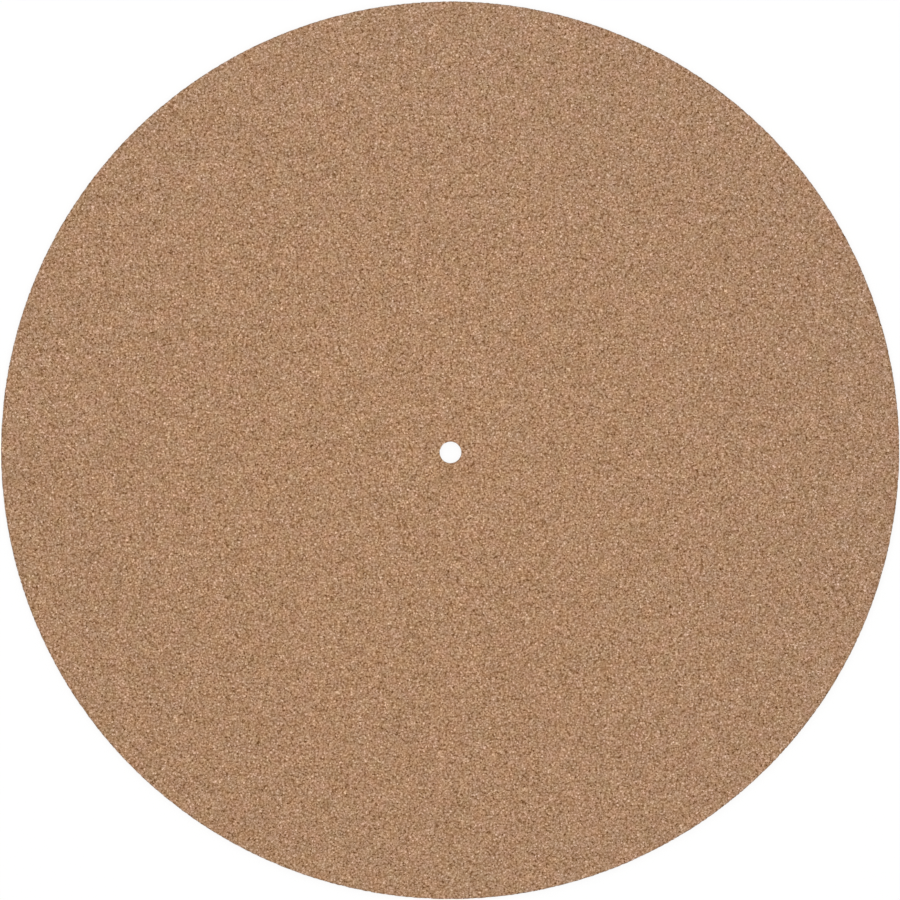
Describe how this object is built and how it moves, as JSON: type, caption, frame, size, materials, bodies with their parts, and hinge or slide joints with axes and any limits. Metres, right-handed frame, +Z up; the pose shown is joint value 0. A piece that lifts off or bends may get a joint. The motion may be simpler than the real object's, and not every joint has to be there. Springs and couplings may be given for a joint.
{
  "type": "turntable platter mat",
  "caption": "Flat round cork mat with a central spindle hole, laid on a turntable platter to carry the record.",
  "frame": {"origin": "on the spindle's axis, level with the face that lies on the platter", "axes": "+Z up along the spindle, out of the face that carries the record; the mat is round about Z, so +X and +Y are any two directions at right angles"},
  "size_m": [0.3, 0.3, 0.003],
  "materials": {
    "cork": "matte fine-grained agglomerated cork"
  },
  "bodies": {
    "root": {"cork_mat": "cork"}
  },
  "joints": []
}
